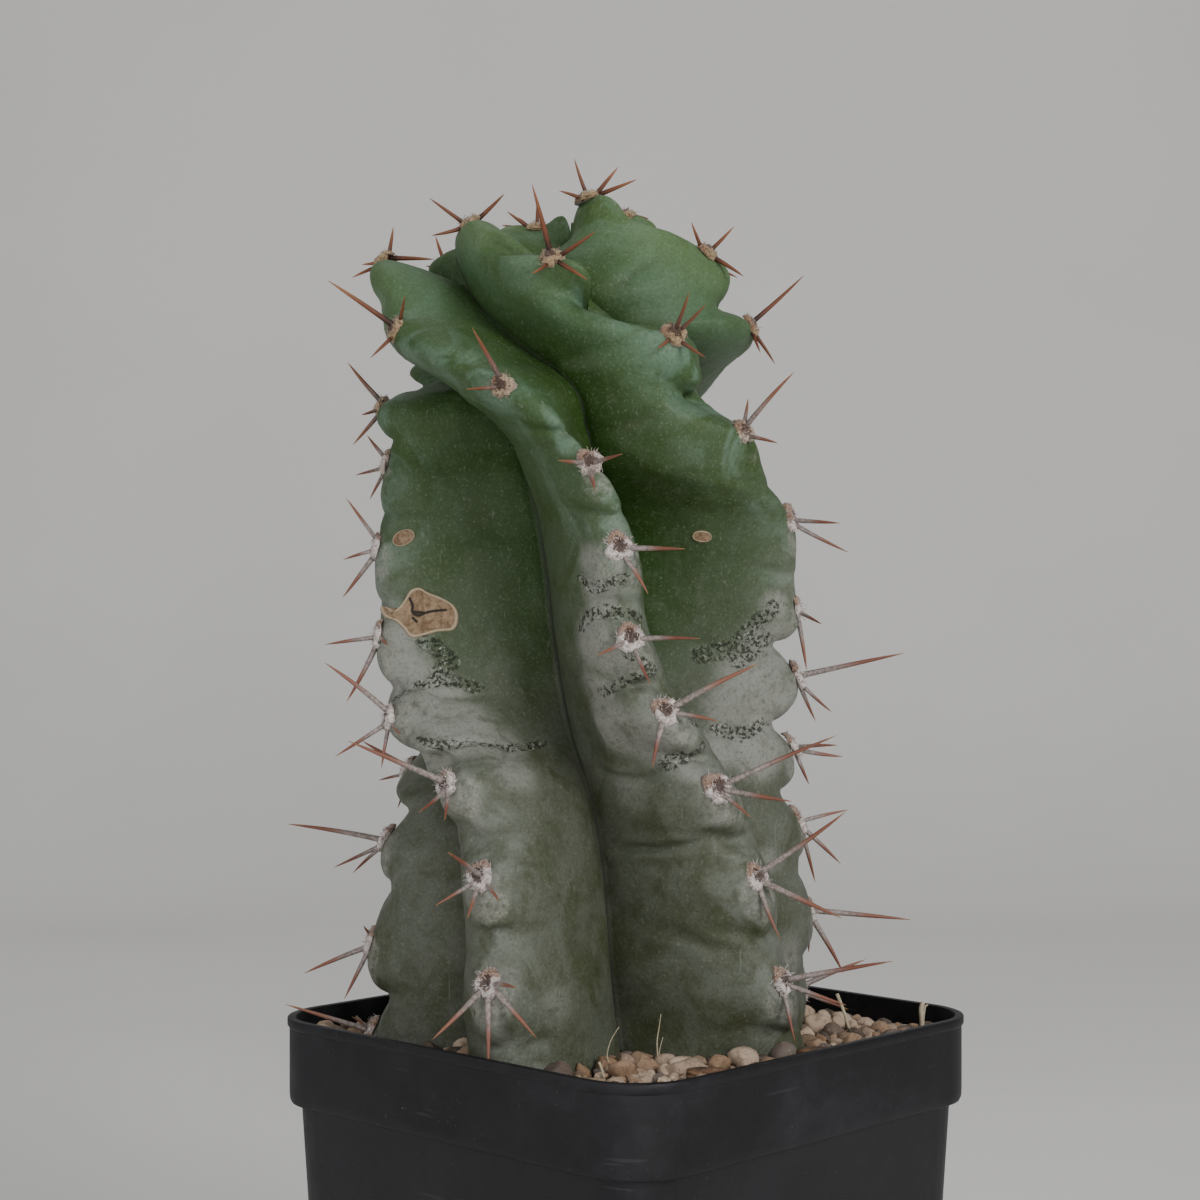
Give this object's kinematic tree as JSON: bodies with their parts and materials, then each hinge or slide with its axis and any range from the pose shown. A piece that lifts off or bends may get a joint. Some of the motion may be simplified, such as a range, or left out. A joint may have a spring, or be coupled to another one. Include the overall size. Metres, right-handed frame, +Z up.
{
  "type": "potted cereus forbesii spiralis",
  "caption": "Stout columnar cactus with deep ribs that wind up it in a spiral, spined and woolly at the areoles, standing in grit-topped mix in a square nursery pot.",
  "frame": {"origin": "middle of the pot's flat underside", "axes": "+Z up through the pot, +X and +Y square to its walls; the plant shows its face to the (+X, -Y) corner"},
  "size_m": [0.1134, 0.1119, 0.2541],
  "materials": {
    "pot_plastic": "matte",
    "grit": "matte",
    "stem_skin": "satin",
    "bark": "matte"
  },
  "bodies": {
    "root": {"pot": "pot_plastic", "potting_mix": "grit", "stem": "stem_skin", "bark_chip_1": "bark", "bark_chip_2": "bark"}
  },
  "joints": []
}
